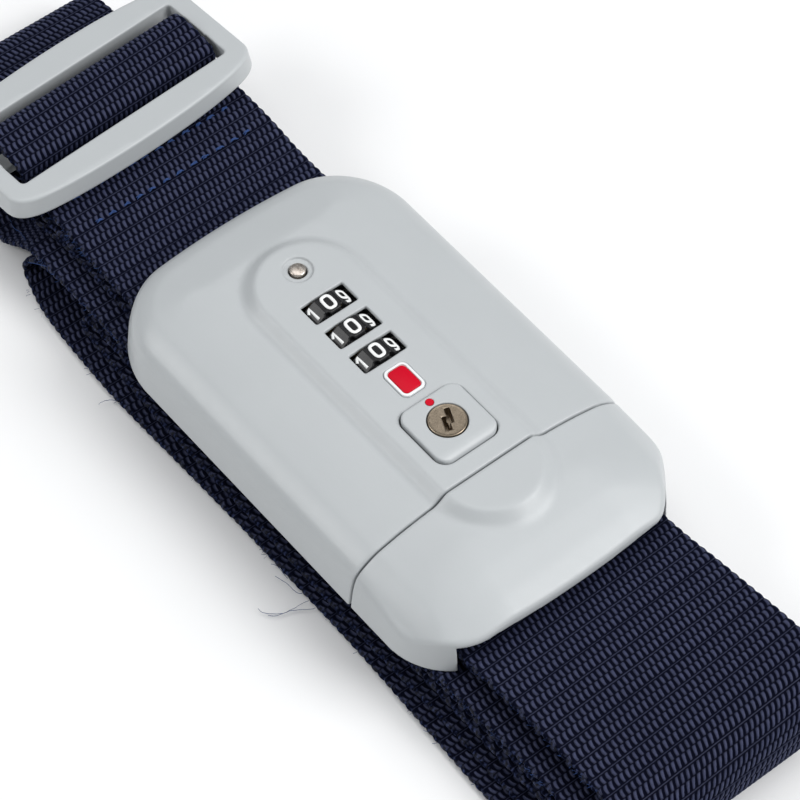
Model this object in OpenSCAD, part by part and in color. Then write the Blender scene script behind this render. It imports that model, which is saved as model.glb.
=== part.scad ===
/* [Webbing] */
// webbing width
web_w = 50; // [38:1:50]
// webbing thickness
web_t = 1.4; // [1:0.1:2]
// sideways shift of the layers on the floor
floor_shift = -9.5; // [-12:0.5:0]
// right-hand fold end
fold_x = 86; // [70:1:110]

/* [Lock body] */
// width of the lock at its base
lock_w = 66; // [58:1:72]
// far (strap bar) end of the lock
far_x = -69.5; // [-80:0.5:-65]
// free end of the tongue half
near_x = 38.6; // [34:0.2:46]
// parting line between lock and tongue half
seam_x = 12; // [8:0.5:16]
// gap at the parting line
seam_gap = 0.4; // [0.3:0.1:0.8]
// underside height of the lock above the floor
base_z = 11.5; // [8:0.5:16]
// height of the raised platform above the floor
top_z = 28; // [24:0.5:32]
// platform half width
plat_r = 11.2; // [9:0.2:13]
// shell wall
wall = 2.1; // [1.6:0.1:3]

/* [Dials] */
// centre of the first dial
dial_x = -35.75; // [-38:0.25:-33]
// dial spacing
dial_pitch = 7.42; // [7:0.01:8]
// dial inscribed radius
dial_r = 6.2; // [5:0.1:7]
// dial thickness
dial_t = 4.4; // [4:0.1:4.6]
// window length across the lock
window_w = 10.2; // [9:0.1:11]
// window length along the lock
window_l = 4.9; // [4.6:0.1:5.2]

/* [Button and key] */
// button side length
button_w = 14.2; // [12:0.2:15]
// button corner radius
button_r = 2.5; // [1:0.1:4]
// button top above the platform
button_up = 0.8; // [0:0.1:1.2]
// key plug radius
plug_r = 3.8; // [3:0.1:4]
// key slot angle
key_angle = -23; // [-90:1:90]

/* [Adjuster] */
// centre bar of the adjuster
adj_x = -111; // [-120:0.5:-108]
// adjuster length along the strap
adj_l = 33; // [28:0.5:36]
// adjuster width across the strap
adj_w = 62; // [58:0.5:66]
// adjuster thickness
adj_t = 4.7; // [3:0.1:6]
// adjuster underside height
adj_z = 17.9; // [17:0.1:19]
// adjuster turned on the strap
adj_turn = 3; // [0:0.5:4]

/* [Hidden] */
$fn = 64;
e = 0.01;
shell_col = [0.76, 0.79, 0.8];
web_col = [0.1, 0.11, 0.24];
steel_col = [0.7, 0.7, 0.72];
axis_z = top_z + 0.7 - dial_r;
rim_r = dial_r / cos(18);
bar_z = base_z + 2.7;
bar_r = 1.4;
lock_bar_x = -62;
tongue_bar_x = 28;
floor_t = 1.5;
base_top = base_z + floor_t;
blade_z = 14.3;
blade_t = 1.6;
pin_x = -46.2;
button_cx = 0.35;
button_top = top_z + button_up;
lock_end = seam_x - seam_gap / 2;
tongue_start = seam_x + seam_gap / 2;

// ---------- helpers ----------
function arc(cx, cy, r, a0, a1, n) =
  [for (i = [0:n]) let (a = a0 + (a1 - a0) * i / n) [cx + r * cos(a), cy + r * sin(a)]];
function rev(v) = [for (i = [len(v) - 1:-1:0]) v[i]];
function unit(v) = v / norm(v);
function side(p, i, s) = let (n = len(p),
  a = i == 0 ? unit(p[1] - p[0]) : unit(p[i] - p[i - 1]),
  b = i == n - 1 ? a : unit(p[i + 1] - p[i]),
  m = unit(a + b), k = s / (m * a)) [p[i][0] - k * m[1], p[i][1] + k * m[0]];
// closed outline of a strip of thickness t centred on path p
function strip(p, t) = concat([for (i = [0:len(p) - 1]) side(p, i, t / 2)],
  rev([for (i = [0:len(p) - 1]) side(p, i, -t / 2)]));
function mirrored(v) = concat(v, rev([for (q = v) [-q[0], q[1]]]));

module web(path, y0 = -25) {
  translate([0, y0 + web_w, 0]) rotate([90, 0, 0])
    linear_extrude(height = web_w) polygon(strip(path, web_t));
}
module along_x(x0, x1) { translate([x0, 0, 0]) rotate([90, 0, 90]) linear_extrude(height = x1 - x0) children(); }
module box(x0, x1, y0, y1, z0, z1) { translate([x0, y0, z0]) cube([x1 - x0, y1 - y0, z1 - z0]); }
module rod_x(x0, x1, y, z, r) { translate([x0, y, z]) rotate([0, 90, 0]) cylinder(h = x1 - x0, r = r); }
module rod_y(y0, y1, x, z, r) { translate([x, y0, z]) rotate([-90, 0, 0]) cylinder(h = y1 - y0, r = r); }
module round_rect(l, w, r) {
  union() {
    square([l - 2 * r, w], center = true);
    square([l, w - 2 * r], center = true);
    for (i = [-1, 1], j = [-1, 1]) translate([i * (l / 2 - r), j * (w / 2 - r)]) circle(r = r, $fn = 32);
  }
}
module coil(r, wire, h, turns) {
  // closed turns joined by one straight wire
  union() {
    for (i = [0:turns]) translate([0, 0, wire + (h - 2 * wire) * i / turns])
      rotate_extrude($fn = 32) translate([r, 0]) circle(r = wire, $fn = 12);
    translate([r, 0, wire]) cylinder(h = h - 2 * wire, r = wire * 0.8, $fn = 16);
  }
}

// ---------- shell ----------
module plan(inset = 0) {
  h = lock_w / 2 - inset;
  r0 = 14 - inset;
  r1 = 12.8 - inset;
  polygon(concat(
    arc(far_x + 15, lock_w / 2 - 14, r0, 90, 180, 9), [[far_x + inset, 0]],
    arc(far_x + 15, 14 - lock_w / 2, r0, 180, 270, 9),
    arc(near_x - 13.6, 12.8 - lock_w / 2, r1, 270, 360, 9), [[near_x - inset, 0]],
    arc(near_x - 13.6, lock_w / 2 - 12.8, r1, 0, 90, 9)));
}
module cross_section(d = 0) {
  polygon(mirrored([[lock_w / 2 + 0.2 - d, base_z - 1], [lock_w / 2 - 0.4 - d, base_z + 4.7],
    [lock_w / 2 - 1.5 - d, base_z + 8.4], [lock_w / 2 - 2.8 - d, base_z + 10.1 - d * 0.4],
    [lock_w / 2 - 6 - d, top_z - 4.4 - d * 0.8], [lock_w / 2 - 11 - d, top_z - 3.3 - d], [13, top_z - 1.6 - d]]));
}
module side_section() {
  rotate([90, 0, 0]) translate([0, 0, -lock_w]) linear_extrude(height = 2 * lock_w)
    polygon([[far_x, base_z], [far_x, base_z + 7.5], [far_x + 0.9, base_z + 10], [far_x + 3, top_z - 4.2],
      [far_x + 7.5, top_z - 2.6], [far_x + 13.5, top_z - 1.6], [22, top_z - 1.6], [28, top_z - 3.2],
      [34, top_z - 5.6], [near_x, top_z - 8], [near_x, base_z]]);
}
module stadium(r) {
  union() {
    translate([-42, -r]) square([54, 2 * r]);
    for (x = [-42, 12]) translate([x, 0]) circle(r = r);
  }
}
module outer_shell() {
  union() {
    intersection() {
      translate([0, 0, base_z]) linear_extrude(height = top_z - base_z) plan();
      along_x(far_x - 1, near_x + 1) cross_section();
      side_section();
    }
    translate([0, 0, top_z - 5]) linear_extrude(height = 4.2) stadium(plat_r + 0.7);
    translate([0, 0, top_z - 1]) linear_extrude(height = 1) stadium(plat_r);
  }
}
module half(x0, x1) { intersection() { outer_shell(); box(x0, x1, -40, 40, 0, 40); } }
module inner_room(x0, x1) {
  along_x(x0, x1) polygon(mirrored([[30.4, base_z - e], [30, base_z + 6], [28.4, base_z + 8.2],
    [25.6, top_z - 6.6], [20, top_z - 5.4], [11.5, top_z - 3.8]]));
}
module button_hole(grow) {
  translate([button_cx, 0, top_z - 8]) linear_extrude(height = 12)
    round_rect(button_w + 2 * grow, button_w + 2 * grow, button_r + grow);
}
module base_plan(x0, x1, d) {
  intersection() { plan(wall + d); translate([x0, -40]) square([x1 - x0, 80]); }
}
module cover_posts(list) {
  intersection() {
    outer_shell();
    screw_spots(list, base_z + 5.05, 2.8, 8);
  }
}
module lock_top_cover() {
  color(shell_col) difference() {
    union() {
      difference() {
        half(far_x - 1, lock_end);
        inner_room(-56, lock_end - 2);
      }
      cover_posts(lock_screws);
    }
    screw_spots(lock_screws, base_z, 1.05, 9.2);
    // thin skin over the dials
    box(-42.6, -13, -8.4, 8.4, top_z - 6, top_z - 1.2);
    // space round the button
    box(-9.5, 9.8, -9.5, 9.5, top_z - 6, top_z - 2.6);
    for (i = [0:2]) translate([dial_x + i * dial_pitch, 0, top_z])
      cube([window_l, window_w, 6], center = true);
    button_hole(0.35);
    translate([pin_x, 0, top_z - 6]) cylinder(h = 8, r = 2.1);
    translate([pin_x, 0, top_z - 0.5]) cylinder(h = 2, r = 3);
    // badge seat
    translate([-12.8, 0, top_z - 0.4]) linear_extrude(height = 2) round_rect(7.6, 5.6, 1.4);
    // strap chamber at the far end
    box(far_x - 2, -57.5, -25.6, 25.6, base_z - 1, base_z + 7);
    rod_y(-28.2, 28.2, lock_bar_x, bar_z, bar_r + 0.05);
    // blade mouth
    box(lock_end - 3, lock_end + 1, -11, 11, blade_z - 0.6, blade_z + blade_t + 0.6);
    // underside recess for the base plate
    translate([0, 0, base_z - 1]) linear_extrude(height = 1 + floor_t) base_plan(-57.2, lock_end + 1, -0.1);
  }
}
module screw_spots(list, z, r, h) { for (p = list) translate([p[0], p[1], z]) cylinder(h = h, r = r); }
lock_screws = [[-50, -22], [-50, 22], [5, -24], [5, 24]];
module lock_base() {
  color(shell_col) difference() {
    union() {
      translate([0, 0, base_z]) linear_extrude(height = floor_t) base_plan(-57, lock_end, 0);
      // screw bosses, meeting the posts of the cover
      screw_spots(lock_screws, base_z + 1, 2.8, 4);
      // axle posts
      box(-42.2, -41.2, -4, 4, base_z + 1, axis_z + 2.5);
      box(-14.6, -13.4, -4, 4, base_z + 1, axis_z + 2.5);
      // reset pin socket
      translate([pin_x, 0, base_z + 1]) cylinder(h = 2.4, r = 2.4);
      // ribs that keep the wheels in place
      for (i = [0:2]) box(dial_x + i * dial_pitch - 2, dial_x + i * dial_pitch + 2, 8.4, 9.6, base_z + 1, base_z + 5);
    }
    rod_x(-42.1, -13.8, 0, axis_z, 1.55);
    // way through the post for the carriage
    box(-44, -40, -2.8, 2.8, base_top + 0.1, base_top + 1.6);
    translate([pin_x, 0, base_z + 2.2]) cylinder(h = 4, r = 1.8);
    screw_spots(lock_screws, base_z - 1, 2.2, 2);
    screw_spots(lock_screws, base_z - 1, 1.05, 12);
    // flats for the catch foot
    box(-13.1, -9.6, -3, 3, base_top - 0.4, base_top + 0.4);
  }
}
module one_screw(x, y, up) {
  translate([x, y, 0]) difference() {
    union() {
      translate([0, 0, base_z + 0.1]) cylinder(h = 0.9, r = 2.1);
      translate([0, 0, base_z + 0.9]) cylinder(h = up, r = 1);
    }
    for (a = [0, 90]) rotate([0, 0, a]) cube([2.4, 0.5, 2 * base_z + 1], center = true);
  }
}
module cover_screws() { color(steel_col) for (p = lock_screws) one_screw(p[0], p[1], 8); }
module badge() {
  color([0.85, 0.05, 0.1]) translate([-12.8, 0, top_z - 0.4]) linear_extrude(height = 0.7) round_rect(7.4, 5.4, 1.3);
}

// ---------- dials ----------
module dial_axle() { color(steel_col) rod_x(-42, -13.9, 0, axis_z, 1.5); }
module dial_wheel(i) {
  color([0.05, 0.05, 0.06]) translate([dial_x + i * dial_pitch, 0, axis_z]) difference() {
    translate([-dial_t / 2, 0, 0]) rotate([0, 90, 0]) rotate([0, 0, 18])
      cylinder(h = dial_t, r = rim_r, $fn = 10);
    translate([-dial_t, 0, 0]) rotate([0, 90, 0]) cylinder(h = 2 * dial_t, r = 3.18);
    // detent notches in the outer face
    for (k = [0:9]) rotate([36 * k, 0, 0]) translate([dial_t / 2 - 0.5, 0, 4.7]) cube([2, 0.9, 0.9], center = true);
  }
}
module dial_wheel_1() { dial_wheel(0); }
module dial_wheel_2() { dial_wheel(1); }
module dial_wheel_3() { dial_wheel(2); }
module code_sleeve(i) {
  color([0.83, 0.68, 0.35]) translate([dial_x + i * dial_pitch, 0, axis_z]) difference() {
    union() {
      rod_x(-3.3, 2.1, 0, 0, 3.1);
      difference() {
        rod_x(-4.15, -3.25, 0, 0, 4.3);
        translate([-5, 2.2, 2.4]) cube([3, 3, 3]);
      }
    }
    rod_x(-5, 4, 0, 0, 1.58);
  }
}
module code_sleeve_1() { code_sleeve(0); }
module code_sleeve_2() { code_sleeve(1); }
module code_sleeve_3() { code_sleeve(2); }
module detent_spring() {
  color(steel_col) union() {
    box(-41.4, -15.2, -10.6, -10.2, base_top, base_top + 3.2);
    for (i = [0:2]) {
      x = dial_x + i * dial_pitch;
      box(x - 1.2, x + 1.2, -10.6, -7, base_top + 3.2, base_top + 3.6);
      box(x - 1.2, x + 1.2, -7.4, -7, base_top + 3.6, axis_z - 1);
    }
  }
}
module reset_pin() {
  color([0.74, 0.62, 0.5]) translate([pin_x, 0, 0]) difference() {
    union() {
      translate([0, 0, base_top + 4.5]) cylinder(h = top_z - 1.0 - base_top - 4.5, r = 1.7);
      translate([0, 0, base_top + 4.5]) cylinder(h = 1.6, r = 2.2);
      translate([0, 0, base_z + 3.7]) cylinder(h = 3, r = 1.1);
    }
    // driver slot in its end
    translate([0, 0, top_z - 1]) cube([0.5, 2.4, 1.2], center = true);
  }
}
module reset_spring() {
  color(steel_col) translate([pin_x, 0, base_z + 2.35]) coil(1.45, 0.16, 3.4, 3);
}
module reset_carriage() {
  color([0.8, 0.8, 0.78]) difference() {
    union() {
      box(-43.7, -22.6, -2.6, 2.6, base_top + 0.4, base_top + 1.3);
      box(-43.7, -43.2, -2.6, 2.6, base_top + 0.4, base_top + 4.2);
      for (i = [0:2]) {
        x = dial_x + i * dial_pitch;
        box(x - 5, x - 4.4, -2.6, 2.6, base_top + 1, axis_z + 0.6);
      }
    }
    rod_x(-42, -10, 0, axis_z, 1.95);
    box(-42, -10, -1.95, 1.95, axis_z, axis_z + 3);
  }
}
module sleeve_return_spring() {
  color(steel_col) translate([-18.5, 0, axis_z]) rotate([0, 90, 0]) coil(2.1, 0.16, 3.4, 3);
}

// ---------- button, key and catch ----------
module release_button() {
  color(shell_col) difference() {
    union() {
      translate([button_cx, 0, top_z - 5.5]) linear_extrude(height = 5.5 + button_up - 0.7)
        round_rect(button_w, button_w, button_r);
      translate([button_cx - 0.35, 0, button_top - 0.8]) linear_extrude(height = 0.8)
        round_rect(button_w - 1.5, button_w - 1.0, button_r - 0.5);
      // retaining flange under the cover
      translate([button_cx, 0, top_z - 3.6]) linear_extrude(height = 0.9)
        round_rect(button_w + 1.6, button_w + 1.6, button_r);
      box(5.2, 6.8, -2.5, 2.5, blade_z + blade_t + 0.5, top_z - 2);
    }
    // hollow underside, leaving a top and four walls
    difference() {
      translate([button_cx, 0, top_z - 6]) linear_extrude(height = 4.6)
        round_rect(button_w - 2.4, button_w - 2.4, 1.3);
      box(5.1, 6.9, -2.6, 2.6, 0, 40);
    }
    translate([0, 0, top_z - 8]) cylinder(h = 12, r = plug_r + 0.3);
    // window for the open mark
    translate([-5.3, 0, button_top - 0.4]) cylinder(h = 1, r = 0.85);
  }
}
module open_mark() { color([0.9, 0.05, 0.08]) translate([-5.3, 0, button_top - 0.4]) cylinder(h = 0.42, r = 0.8); }
module button_springs() {
  color(steel_col) for (s = [-1, 1]) translate([-4.3, s * 4.7, base_top + 0.2]) coil(0.85, 0.14, 13, 8);
}
module code_fence() {
  color([0.8, 0.8, 0.78]) union() {
    box(-39.8, -8.6, 8.6, 9.6, top_z - 5.6, top_z - 4.6);
    for (i = [0:2]) {
      x = dial_x + i * dial_pitch;
      box(x - 4.0, x - 3.3, 4.7, 8.8, top_z - 5.6, top_z - 4.6);
    }
    box(-9.0, -6.77, 3.4, 9.6, top_z - 5.6, top_z - 4.6);
  }
}
module key_slot(h) {
  rotate([0, 0, key_angle]) linear_extrude(height = h)
    polygon([[-3.1, 0.1], [-3.1, 1.0], [0.4, 1.0], [0.4, 0.3], [2.4, 0.3], [2.4, -0.7], [-0.9, -0.7], [-0.9, 0.1]]);
}
module key_cylinder() {
  color([0.62, 0.56, 0.48]) difference() {
    translate([0, 0, top_z - 8.2]) cylinder(h = 6.8, r = 4.55);
    translate([0, 0, top_z - 9]) cylinder(h = 6, r = 3.28);
    translate([0, 0, top_z - 3.3]) cylinder(h = 3, r = 3.95);
  }
}
module key_plug() {
  color([0.55, 0.47, 0.38]) difference() {
    union() {
      translate([0, 0, top_z - 3]) cylinder(h = 3 + button_up, r = plug_r);
      translate([0, 0, top_z - 8.6]) cylinder(h = 6, r = 3.2);
    }
    translate([0, 0, top_z - 6.5]) key_slot(8);
    rotate([0, 0, key_angle]) for (k = [0:2])
      translate([0, 0, top_z - 7.6 + 1.5 * k]) cube([2.4, 5.3, 0.6], center = true);
  }
}
module key_wafers() {
  color([0.83, 0.68, 0.35]) for (k = [0:2]) rotate([0, 0, key_angle])
    translate([0, 0, top_z - 7.6 + 1.5 * k]) difference() {
      cube([2.2, 5.1, 0.5], center = true);
      cube([1.4, 3, 2], center = true);
    }
}
module key_cam() {
  color(steel_col) union() {
    translate([0, 0, top_z - 9.6]) cylinder(h = 0.95, r = 2.6);
    box(-4.9, 0, -1.2, 1.2, top_z - 9.6, top_z - 8.65);
  }
}
module catch_spring() {
  color(steel_col) union() {
    box(-12.9, 6.6, -2.8, 2.8, base_top + 0.1, base_top + 0.6);
    box(6.1, 6.6, -2.2, 2.2, base_top + 0.4, blade_z + blade_t + 0.2);
    box(-12.9, -12.4, -2.8, 2.8, base_top - 0.35, base_top + 0.4);
  }
}
module lock_strap_bar() { color(steel_col) rod_y(-28, 28, lock_bar_x, bar_z, bar_r); }

// ---------- tongue half ----------
tongue_screw_spots = [[20, -22], [20, 22]];
module tongue_top_cover() {
  color(shell_col) difference() {
    union() {
      difference() {
        half(tongue_start, near_x + 1);
        inner_room(tongue_start + 2, 24);
      }
      cover_posts(tongue_screw_spots);
    }
    screw_spots(tongue_screw_spots, base_z, 1.05, 9.2);
    box(tongue_start - 1, tongue_start + 3, -11, 11, blade_z - 0.05, blade_z + blade_t + 0.05);
    // strap chamber and mouth under the hood
    intersection() {
      box(23.9, near_x + 2, -26.8, 26.8, base_z - 1, top_z);
      rotate([90, 0, 0]) translate([0, 0, -40]) linear_extrude(height = 80)
        polygon([[20, 0], [60, 0], [60, 18.2], [near_x, 18.2], [34, 20.2], [28, 22.6], [20, 23]]);
    }
    rod_y(-29, 29, tongue_bar_x, bar_z, bar_r + 0.05);
    translate([0, 0, base_z - 1]) linear_extrude(height = 1 + floor_t)
      base_plan(tongue_start - 1, 23.6, -0.1);
  }
}
module tongue_base() {
  color(shell_col) difference() {
    union() {
      translate([0, 0, base_z]) linear_extrude(height = floor_t) base_plan(tongue_start, 23.4, 0);
      screw_spots(tongue_screw_spots, base_z + 1, 2.8, 4);
      box(14.4, 20, -12, 12, base_z + 1, blade_z);
    }
    screw_spots(tongue_screw_spots, base_z - 1, 2.2, 2);
    screw_spots(tongue_screw_spots, base_z - 1, 1.05, 12);
  }
}
module tongue_blade() {
  color(steel_col) difference() {
    box(-2.4, 20, -10.5, 10.5, blade_z, blade_z + blade_t);
    box(-0.4, 7.4, -4, 4, blade_z - 1, blade_z + 3);
    for (s = [-1, 1]) translate([-2.4, s * 10.5, 0]) rotate([0, 0, 45]) cube([3, 3, 60], center = true);
  }
}
module tongue_screws() { color(steel_col) for (p = tongue_screw_spots) one_screw(p[0], p[1], 8); }
module tongue_strap_bar() { color(steel_col) rod_y(-28.8, 28.8, tongue_bar_x, bar_z, bar_r); }

// ---------- adjuster ----------
module adjuster() {
  color(shell_col) translate([adj_x, 0, adj_z]) rotate([0, 0, adj_turn]) difference() {
    union() {
      intersection() {
        linear_extrude(height = adj_t) intersection() {
          round_rect(adj_l, adj_w, 8);
          translate([150 - adj_l / 2, 0]) circle(r = 150, $fn = 180);
          translate([adj_l / 2 - 150, 0]) circle(r = 150, $fn = 180);
        }
        along_x(-adj_l, adj_l) polygon(mirrored([[31, 0], [31, adj_t - 1.2], [29.8, adj_t]]));
      }
    }
    for (s = [-1, 1]) translate([s * 5.45, 0, 0]) cube([6.9, 52.4, 4 * adj_t], center = true);
    // the centre bar is thinner than the frame
    box(-2.1, 2.1, -26.2, 26.2, 2.2, adj_t + 1);
  }
}

// ---------- webbing ----------
function half_turn(cx, cz, r, a0, a1, n = 10) = arc(cx, cz, r, a0, a1, n);
// the sewn end loops loosely round the adjuster's centre bar
upper_path = concat([[-86.5, 14.6], [-98, 15], [-108, 15.4], [-113.5, 15.9], [-116.2, 17.2], [-117.1, 18.8], [-117.2, 20.5],
  [-116.9, 21.9], [-116, 22.9], [-114.4, 23.35], [-112, 23.2], [-109, 22.8], [-106, 22.25], [-105, 21.7], [-104.7, 20.5],
  [-104.7, 19.2], [-104.5, 18], [-103.7, 17.1], [-102.5, 16.8], [-98, 16.9], [-90, 16.5], [-85, 16.1],
  [-66.5, bar_z + bar_r + web_t / 2 + 0.1]],
  arc(lock_bar_x, bar_z, bar_r + web_t / 2 + 0.1, 90, -90, 8), [[-66.5, 12.1], [-72.2, 12.1]]);
module webbing_upper() { color(web_col) web(upper_path); }
low = web_t / 2;
layer = [low, 2.2, 6.3, 9.15, 10.6];
// each run of the folded strap lies at its own sideways shift, and overlaps the next along a straight
run_a = concat([[-72.5, 12.2], [-90, 12.3], [-112, 11.6], [-130, 10.2], [-141, 9.4]], half_turn(-142, 5.05, 4.35, 90, 270),
  [[-122, low], [-110, 0.75], [-106.5, 1.4], [-102.8, 4.2], [-99.5, 7], [-95.5, 9.5], [-91, 10.5], [-88, layer[4]], [60, layer[4]]],
  half_turn(71.5, (layer[1] + layer[4]) / 2, (layer[4] - layer[1]) / 2, 90, -90), [[50, layer[1]]]);
run_b = concat([[64, layer[1]], [-70, layer[1]]], half_turn(-79, (layer[1] + layer[2]) / 2, (layer[2] - layer[1]) / 2, 270, 90, 8),
  [[60, layer[2]]], half_turn(65, (layer[2] + layer[3]) / 2, (layer[3] - layer[2]) / 2, -90, 90, 8), [[50, layer[3]]]);
run_c = [[62, layer[3]], [-86, layer[3]], [-90, 8.7], [-94, 7.2], [-96.8, 4.9], [-97.8, 2.9], [-97, 1.3], [-95.3, 0.75], [-92, low], [-76, low]];
run_d = [[-90, low], [-25, low]];
module webbing_bundle() {
  color(web_col) union() {
    web(run_a, -28.2);
    web(run_b, -32);
    web(run_c, -29.5);
    web(run_d, floor_shift - 25);
  }
}
tongue_path = concat([[40, 12.2], [30, 12]],
  arc(tongue_bar_x, bar_z, bar_r + web_t / 2 + 0.1, -90, -270, 8),
  [[34, 14.8], [38, 15.1], [45, 15.9], [52, 16.3], [62, 16.8], [70, 17.2]],
  arc(76.4, 9.2, 8.2, 84, -6, 8), arc(fold_x - 7.5 - web_t / 2, 7.7, 7, -4, -90, 8), [[60, low]]);
module webbing_tongue() {
  color(web_col) union() {
    web(tongue_path);
    web([[76, low], [-24, low]], floor_shift - 25);
  }
}
module stitch_row(x, z, w, n) {
  for (i = [0:n - 1]) translate([x, -w / 2 + w * (i + 0.5) / n, z]) cube([0.5, 0.62 * w / n, 0.3], center = true);
}
module stitch_adjuster() { color([0.25, 0.33, 0.6]) { stitch_row(-87.6, 17.18, 44, 11); stitch_row(-95, 17.62, 44, 11); } }
module stitch_tongue() { color([0.25, 0.33, 0.6]) { stitch_row(30.8, 16.56, 44, 11); stitch_row(33.4, 15.92, 44, 11); } }

lock_top_cover();
lock_base();
cover_screws();
badge();
dial_axle();
dial_wheel_1();
dial_wheel_2();
dial_wheel_3();
code_sleeve_1();
code_sleeve_2();
code_sleeve_3();
detent_spring();
reset_pin();
reset_spring();
reset_carriage();
sleeve_return_spring();
release_button();
open_mark();
button_springs();
code_fence();
key_cylinder();
key_plug();
key_wafers();
key_cam();
catch_spring();
lock_strap_bar();
tongue_top_cover();
tongue_base();
tongue_blade();
tongue_screws();
tongue_strap_bar();
adjuster();
webbing_upper();
webbing_bundle();
webbing_tongue();
stitch_adjuster();
stitch_tongue();
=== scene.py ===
import bpy, bmesh, math
import numpy as np
import openvdb as vdb
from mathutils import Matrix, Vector


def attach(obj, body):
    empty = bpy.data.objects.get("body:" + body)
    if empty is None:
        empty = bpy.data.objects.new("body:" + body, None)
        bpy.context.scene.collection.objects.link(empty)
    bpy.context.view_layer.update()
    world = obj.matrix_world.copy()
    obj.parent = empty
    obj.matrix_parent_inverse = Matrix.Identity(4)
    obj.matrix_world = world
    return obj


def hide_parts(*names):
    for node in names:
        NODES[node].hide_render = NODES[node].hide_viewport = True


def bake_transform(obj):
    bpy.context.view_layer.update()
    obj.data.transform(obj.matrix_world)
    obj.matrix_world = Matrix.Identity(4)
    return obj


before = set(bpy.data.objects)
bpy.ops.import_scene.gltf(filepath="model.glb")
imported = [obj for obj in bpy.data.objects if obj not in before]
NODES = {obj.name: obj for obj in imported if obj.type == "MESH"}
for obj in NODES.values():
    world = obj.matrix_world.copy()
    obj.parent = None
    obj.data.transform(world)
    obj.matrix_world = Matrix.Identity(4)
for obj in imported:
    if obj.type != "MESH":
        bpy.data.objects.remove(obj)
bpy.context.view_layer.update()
MM = 0.001
rng = np.random.default_rng(7)

# ------------------------------------------------------------------ camera and light
scene = bpy.context.scene
scene.view_settings.view_transform = "Standard"
cam = bpy.data.objects.new("camera", bpy.data.cameras.new("camera"))
scene.collection.objects.link(cam)
scene.camera = cam
cam.data.sensor_width = 36
cam.data.lens = 163.72
cam.data.clip_start, cam.data.clip_end = 0.01, 10
eye, aim = Vector((0.30425, -0.25663, 0.57730)), Vector((-0.00959, -0.00364, 0.028))
cam.location = eye
cam.rotation_mode = "QUATERNION"
cam.rotation_quaternion = (aim - eye).to_track_quat("-Z", "Y")


def softbox(name, direction, distance, size, power, target=(-0.02, 0, 0.01)):
    lamp = bpy.data.objects.new(name, bpy.data.lights.new(name, "AREA"))
    scene.collection.objects.link(lamp)
    d = Vector(direction).normalized()
    lamp.location = Vector(target) + d * distance
    lamp.rotation_mode = "QUATERNION"
    lamp.rotation_quaternion = (-d).to_track_quat("-Z", "Y")
    lamp.data.shape = "RECTANGLE"
    lamp.data.size, lamp.data.size_y = size
    lamp.data.energy = power


softbox("key_right", (0.60, 0.48, 0.70), 1.1, (0.7, 0.6), 9.0)
softbox("top", (-0.1, 0.15, 1), 1.3, (1.2, 1.2), 6.0)
softbox("fill_left", (-0.46, -0.65, 0.6), 1.2, (0.6, 0.45), 4.2)
world = bpy.data.worlds.new("studio")
scene.world = world
world.use_nodes = True
world.node_tree.nodes["Background"].inputs[0].default_value = (0.93, 0.96, 1, 1)
world.node_tree.nodes["Background"].inputs[1].default_value = 0.33

# ------------------------------------------------------------------ shader helpers


class V:
    """A value in a shader graph; arithmetic on it adds Math nodes."""

    def __init__(self, tree, sock):
        self.tree, self.sock = tree, sock

    def math(self, kind, *args):
        n = self.tree.nodes.new("ShaderNodeMath")
        n.operation = kind
        for i, a in enumerate((self, *args)):
            if isinstance(a, V):
                self.tree.links.new(a.sock, n.inputs[i])
            else:
                n.inputs[i].default_value = a
        return V(self.tree, n.outputs[0])

    def __add__(self, b): return self.math("ADD", b)
    def __sub__(self, b): return self.math("SUBTRACT", b)
    def __mul__(self, b): return self.math("MULTIPLY", b)
    def __truediv__(self, b): return self.math("DIVIDE", b)
    __radd__, __rmul__ = __add__, __mul__
    def __rsub__(self, b): return self.math("MULTIPLY", -1.0).math("ADD", b)
    def frac(self): return self.math("FRACT")
    def sqrt(self): return self.math("MAXIMUM", 0.0).math("SQRT")
    def most(self, b): return self.math("MAXIMUM", b)
    def least(self, b): return self.math("MINIMUM", b)
    def wave(self): return self.math("SINE")


class A(np.ndarray):
    """The same operations on an array."""

    def frac(self): return self - np.floor(self)
    def sqrt(self): return np.sqrt(np.maximum(self, 0))
    def most(self, b): return np.maximum(self, b)
    def least(self, b): return np.minimum(self, b)
    def wave(self): return np.sin(self)


ROWS = 4.25      # two rows of the weave, mm along the strap
YARN = 1.27      # one yarn, mm across it


def weave(u, v):
    """Height, 0 to 1, of the yarns at u mm along the webbing and v mm across it."""
    r = (u / ROWS).frac()
    a = ((r - 0.01) / 0.43).most(0.0).least(1.0)
    b = ((r - 0.585) / 0.40).most(0.0).least(1.0)
    qa = ((v / YARN) + 0.1 + a * 0.26).frac() - 0.5
    wa = 0.38 - a * 0.14
    long_a = 1.0 - (a * 2.0 - 1.0) * (a * 2.0 - 1.0)
    bump_a = (1.0 - (qa / wa) * (qa / wa)).sqrt() * long_a.sqrt().sqrt()
    qb = ((v / YARN) + 0.58 + b * 0.22).frac() - 0.5
    long_b = 1.0 - (b * 2.0 - 1.0) * (b * 2.0 - 1.0)
    bump_b = (1.0 - (qb / 0.31) * (qb / 0.31)).sqrt() * long_b.sqrt().sqrt() * 0.88
    k = (r - 0.515) / 0.032
    ridge = (1.0 - k * k).sqrt() * 0.62
    return bump_a.most(bump_b).most(ridge)


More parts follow.
